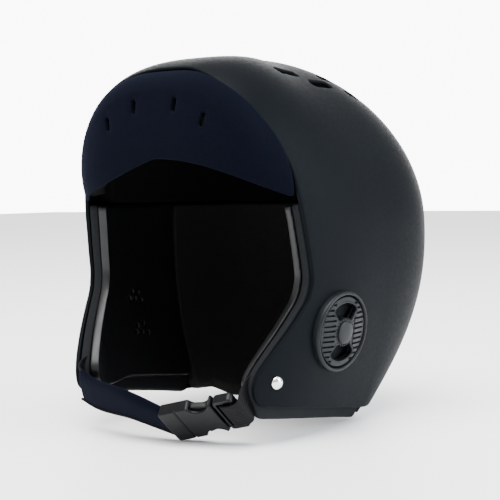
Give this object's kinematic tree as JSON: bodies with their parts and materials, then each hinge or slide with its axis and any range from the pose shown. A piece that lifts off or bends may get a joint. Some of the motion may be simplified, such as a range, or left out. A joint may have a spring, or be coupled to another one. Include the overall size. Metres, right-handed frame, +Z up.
{
  "type": "water helmet",
  "caption": "Open-face water helmet: moulded shell, soft brow panel, foam liner and ear pads, turning ear vents and a chin strap with a side-release buckle.",
  "frame": {"origin": "on the surface that the helmet stands on, under the centre of its bounding box", "axes": "-Y the way the face looks, +X the wearer's left, +Z up"},
  "size_m": [0.198, 0.2462, 0.2395],
  "materials": {
    "shell_plastic": "fine matte moulded, charcoal",
    "navy_neoprene": "brushed textile face on neoprene, very dark navy",
    "eva_foam": "closed-cell foam, dark grey",
    "nape_foam": "closed-cell foam, brownish grey",
    "pad_skin": "smooth satin skin on soft foam, black",
    "vent_plastic": "satin moulded, black",
    "rivet_chrome": "polished",
    "webbing": "ribbed woven tape, black",
    "buckle_plastic": "satin gloss moulded, black"
  },
  "bodies": {
    "helmet": {"outer_shell": "shell_plastic", "brow_panel": "navy_neoprene", "brow_pad": "eva_foam", "crown_pad": "eva_foam", "side_liner_left": "eva_foam", "side_liner_right": "eva_foam", "ear_pad_left": "pad_skin", "ear_pad_right": "pad_skin", "nape_pad_left": "nape_foam", "nape_pad_right": "nape_foam", "vent_bezel_left": "vent_plastic", "vent_base_left": "vent_plastic", "vent_hub_left": "vent_plastic", "vent_ring_left": "vent_plastic", "rivet_left": "rivet_chrome", "strap_post_left": "rivet_chrome", "vent_bezel_right": "vent_plastic", "vent_base_right": "vent_plastic", "vent_hub_right": "vent_plastic", "vent_ring_right": "vent_plastic", "rivet_right": "rivet_chrome", "strap_post_right": "rivet_chrome"},
    "vent_dial_left": {"vent_dial_left": "vent_plastic"},
    "vent_dial_right": {"vent_dial_right": "vent_plastic"},
    "chin_strap": {"webbing_left": "webbing", "webbing_right": "webbing", "chin_sleeve": "navy_neoprene", "buckle_ladder": "buckle_plastic"},
    "buckle_catch": {"buckle_catch": "buckle_plastic"},
    "release_prong_upper": {"release_prong_upper": "buckle_plastic"},
    "release_prong_lower": {"release_prong_lower": "buckle_plastic"}
  },
  "joints": [
    {"name": "vent_turn_left", "type": "hinge", "parent": "helmet", "child": "vent_dial_left", "pos_m": [0.0919, -0.037, 0.065], "axis": [0.9854, -0.08, -0.1501], "range_deg": [0, 90]},
    {"name": "vent_turn_right", "type": "hinge", "parent": "helmet", "child": "vent_dial_right", "pos_m": [-0.0919, -0.037, 0.065], "axis": [-0.9854, -0.08, -0.1501], "range_deg": [-90, 0]},
    {"name": "strap_swing", "type": "hinge", "parent": "helmet", "child": "chin_strap", "pos_m": [0, -0.0859, 0.0382], "axis": [1, 0, 0], "range_deg": [-22, 12]},
    {"name": "buckle_open", "type": "slide", "parent": "chin_strap", "child": "buckle_catch", "axis": [-0.9576, -0.1679, -0.2341], "range_m": [0, 0.018], "deforming": ["chin_sleeve", "webbing_right"]},
    {"name": "prong_squeeze_upper", "type": "slide", "parent": "chin_strap", "child": "release_prong_upper", "axis": [0.0352, 0.7384, -0.6735], "range_m": [0, 0.0045]},
    {"name": "prong_squeeze_lower", "type": "slide", "parent": "chin_strap", "child": "release_prong_lower", "axis": [-0.0352, -0.7384, 0.6735], "range_m": [0, 0.0045]}
  ],
  "couplings": [
    {"joint": "prong_squeeze_upper", "follows": "buckle_open", "ratio": 0.25},
    {"joint": "prong_squeeze_lower", "follows": "buckle_open", "ratio": 0.25}
  ]
}
